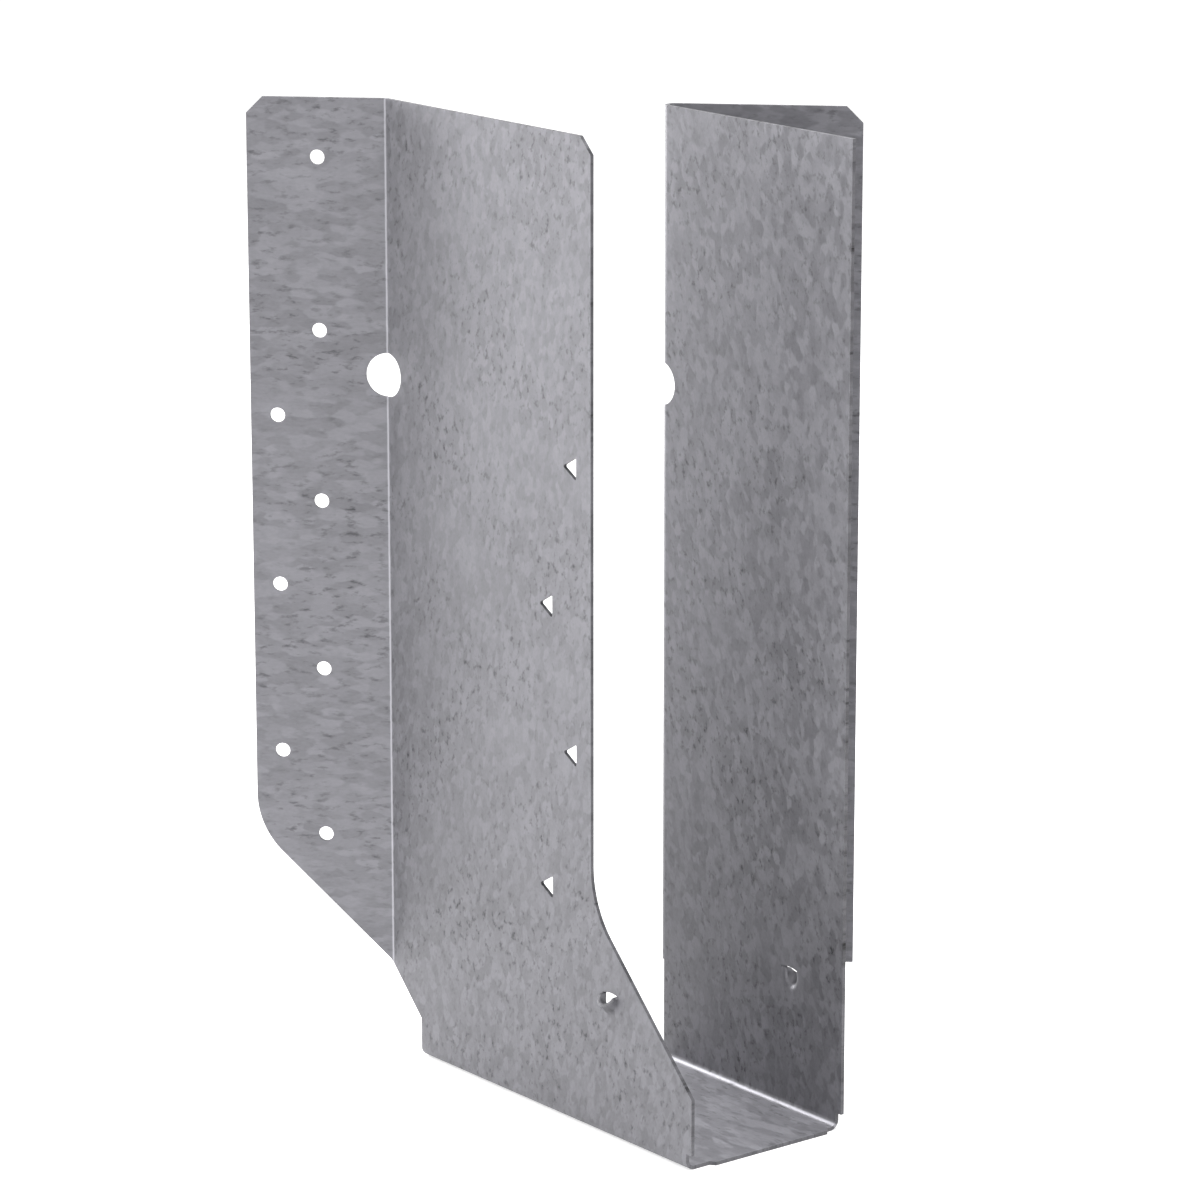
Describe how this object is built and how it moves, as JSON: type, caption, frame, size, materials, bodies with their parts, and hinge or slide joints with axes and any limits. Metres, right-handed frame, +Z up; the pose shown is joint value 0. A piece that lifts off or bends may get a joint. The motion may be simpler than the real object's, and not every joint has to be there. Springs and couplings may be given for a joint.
{
  "type": "skewed joist hanger",
  "caption": "Folded galvanised sheet hanger that carries the end of a joist meeting a header at 45 degrees, with nail flanges, open channel and seat.",
  "frame": {"origin": "on the header face (the plane of both flanges' backs), on the middle line of the joist channel, level with the seat's underside", "axes": "+Y into the header, +X along the header towards the far flange, +Z up; the joist runs away from the header along +X -Y at 45 degrees"},
  "size_m": [0.18, 0.1008, 0.2858],
  "materials": {
    "galvanised": "hot-dip galvanised, satin with a fine spangle"
  },
  "bodies": {
    "root": {"hanger": "galvanised"}
  },
  "joints": []
}
